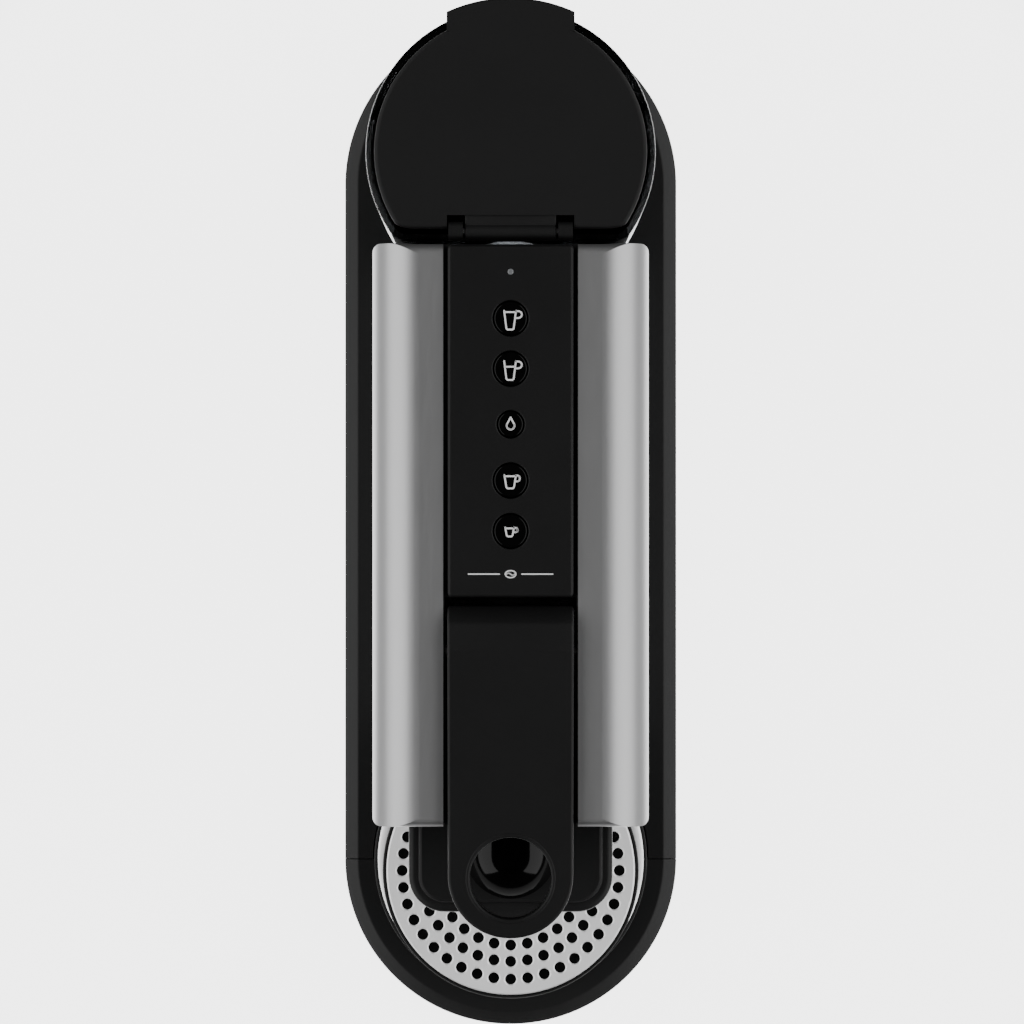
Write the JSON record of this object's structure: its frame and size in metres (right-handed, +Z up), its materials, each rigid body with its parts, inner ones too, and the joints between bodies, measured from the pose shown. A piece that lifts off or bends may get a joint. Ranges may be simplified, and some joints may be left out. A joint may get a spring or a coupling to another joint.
{
  "type": "pod coffee machine",
  "caption": "Slim pod coffee machine: long round-ended base, rear water tank with hinged lid, silver side panels, button panel, lever with finger hole and folding cup support.",
  "frame": {"origin": "centre of the base on the surface that the feet stand on", "axes": "+Z up; -Y is the machine's front, where the cup stands; +X is the machine's right seen from behind its front, left-right symmetric about X=0"},
  "size_m": [0.13, 0.3944, 0.2762],
  "materials": {
    "satin_black": "satin moulded black plastic, fine grain",
    "gloss_black": "polished black plastic",
    "silver_paint": "satin silver finish",
    "chrome": "polished chrome",
    "dark_trim": "smooth dark grey trim",
    "smoke_clear": "clear smoke-tinted plastic",
    "light_diffuser": "milky light guide",
    "steel": "plain steel",
    "aluminium": "cast aluminium",
    "brass": "machined brass",
    "rubber": "black rubber",
    "silicone": "translucent silicone hose",
    "inner_plastic": "plain white moulded plastic",
    "circuit_board": "green circuit board",
    "wire_sleeve": "black wire sleeve"
  },
  "bodies": {
    "machine": {"base_shell": "satin_black", "base_plate": "satin_black", "base_screws": "steel", "rubber_feet": "rubber", "cord_inlet": "satin_black", "tank_seat": "inner_plastic", "seat_seal": "rubber", "chassis": "satin_black", "rear_cover": "satin_black", "cover_screws": "steel", "right_side_panel": "silver_paint", "left_side_panel": "silver_paint", "control_panel": "satin_black", "status_light": "light_diffuser", "control_board": "circuit_board", "key_switches": "inner_plastic", "container_shelf": "satin_black", "outlet_head": "satin_black", "outlet_cap": "gloss_black", "coffee_spout": "satin_black", "brew_frame": "satin_black", "lever_shaft": "steel", "injection_head": "brass", "hot_water_tube": "steel", "capsule_funnel": "satin_black", "capsule_chute": "satin_black", "thermoblock": "aluminium", "pump": "inner_plastic", "pump_mounts": "rubber", "flow_meter": "inner_plastic", "suction_hose": "silicone", "feed_hose": "silicone", "pressure_hose": "silicone", "mains_wires": "wire_sleeve"},
    "lever": {"lever_handle": "satin_black", "finger_ring": "dark_trim", "drive_arms": "steel"},
    "clamp": {"clamp_carriage": "inner_plastic", "clamp_plate": "steel"},
    "drip_tray": {"drip_tray": "satin_black"},
    "drip_grid": {"drip_grid": "chrome"},
    "capsule_container": {"capsule_container": "satin_black", "container_front": "satin_black", "support_hinge_pin": "steel"},
    "cup_support": {"support_carrier": "satin_black", "cup_grid": "chrome"},
    "tank": {"water_tank": "smoke_clear", "tank_valve": "satin_black", "valve_poppet": "satin_black", "valve_return_cone": "silicone", "tank_strainer": "satin_black", "lid_bracket": "satin_black", "lid_hinge_pin": "steel"},
    "tank_lid": {"tank_lid": "satin_black"},
    "button_large_fill": {"button_large_fill": "gloss_black"},
    "button_large_level": {"button_large_level": "gloss_black"},
    "button_rinse": {"button_rinse": "gloss_black"},
    "button_medium_cup": {"button_medium_cup": "gloss_black"},
    "button_small_cup": {"button_small_cup": "gloss_black"}
  },
  "joints": [
    {"name": "lever_pivot", "type": "hinge", "parent": "machine", "child": "lever", "pos_m": [0, -0.0457, 0.26], "axis": [-1, 0, 0], "range_deg": [0, 90]},
    {"name": "clamp_slide", "type": "slide", "parent": "machine", "child": "clamp", "axis": [0, -1, 0], "range_m": [0, 0.0256]},
    {"name": "drip_tray_slide", "type": "slide", "parent": "machine", "child": "drip_tray", "axis": [0, -1, 0], "range_m": [0, 0.125]},
    {"name": "drip_grid_lift", "type": "slide", "parent": "drip_tray", "child": "drip_grid", "axis": [0, 0, 1], "range_m": [0, 0.004]},
    {"name": "container_slide", "type": "slide", "parent": "machine", "child": "capsule_container", "axis": [0, -1, 0], "range_m": [0, 0.09]},
    {"name": "cup_support_fold", "type": "hinge", "parent": "capsule_container", "child": "cup_support", "pos_m": [0, -0.083, 0.07], "axis": [-1, 0, 0], "range_deg": [0, 90]},
    {"name": "tank_lift", "type": "slide", "parent": "machine", "child": "tank", "axis": [0, 0, 1], "range_m": [0, 0.12]},
    {"name": "lid_hinge", "type": "hinge", "parent": "tank", "child": "tank_lid", "pos_m": [0, 0.1038, 0.266], "axis": [1, 0, 0], "range_deg": [0, 85]},
    {"name": "press_large_fill", "type": "slide", "parent": "machine", "child": "button_large_fill", "axis": [0, 0, -1], "range_m": [0, 0.001], "stiffness_N_per_m": 600, "springref_m": -0.001},
    {"name": "press_large_level", "type": "slide", "parent": "machine", "child": "button_large_level", "axis": [0, 0, -1], "range_m": [0, 0.001], "stiffness_N_per_m": 600, "springref_m": -0.001},
    {"name": "press_rinse", "type": "slide", "parent": "machine", "child": "button_rinse", "axis": [0, 0, -1], "range_m": [0, 0.001], "stiffness_N_per_m": 600, "springref_m": -0.001},
    {"name": "press_medium_cup", "type": "slide", "parent": "machine", "child": "button_medium_cup", "axis": [0, 0, -1], "range_m": [0, 0.001], "stiffness_N_per_m": 600, "springref_m": -0.001},
    {"name": "press_small_cup", "type": "slide", "parent": "machine", "child": "button_small_cup", "axis": [0, 0, -1], "range_m": [0, 0.001], "stiffness_N_per_m": 600, "springref_m": -0.001}
  ],
  "couplings": [
    {"joint": "clamp_slide", "follows": "lever_pivot", "m_per_rad": 0.016206}
  ]
}
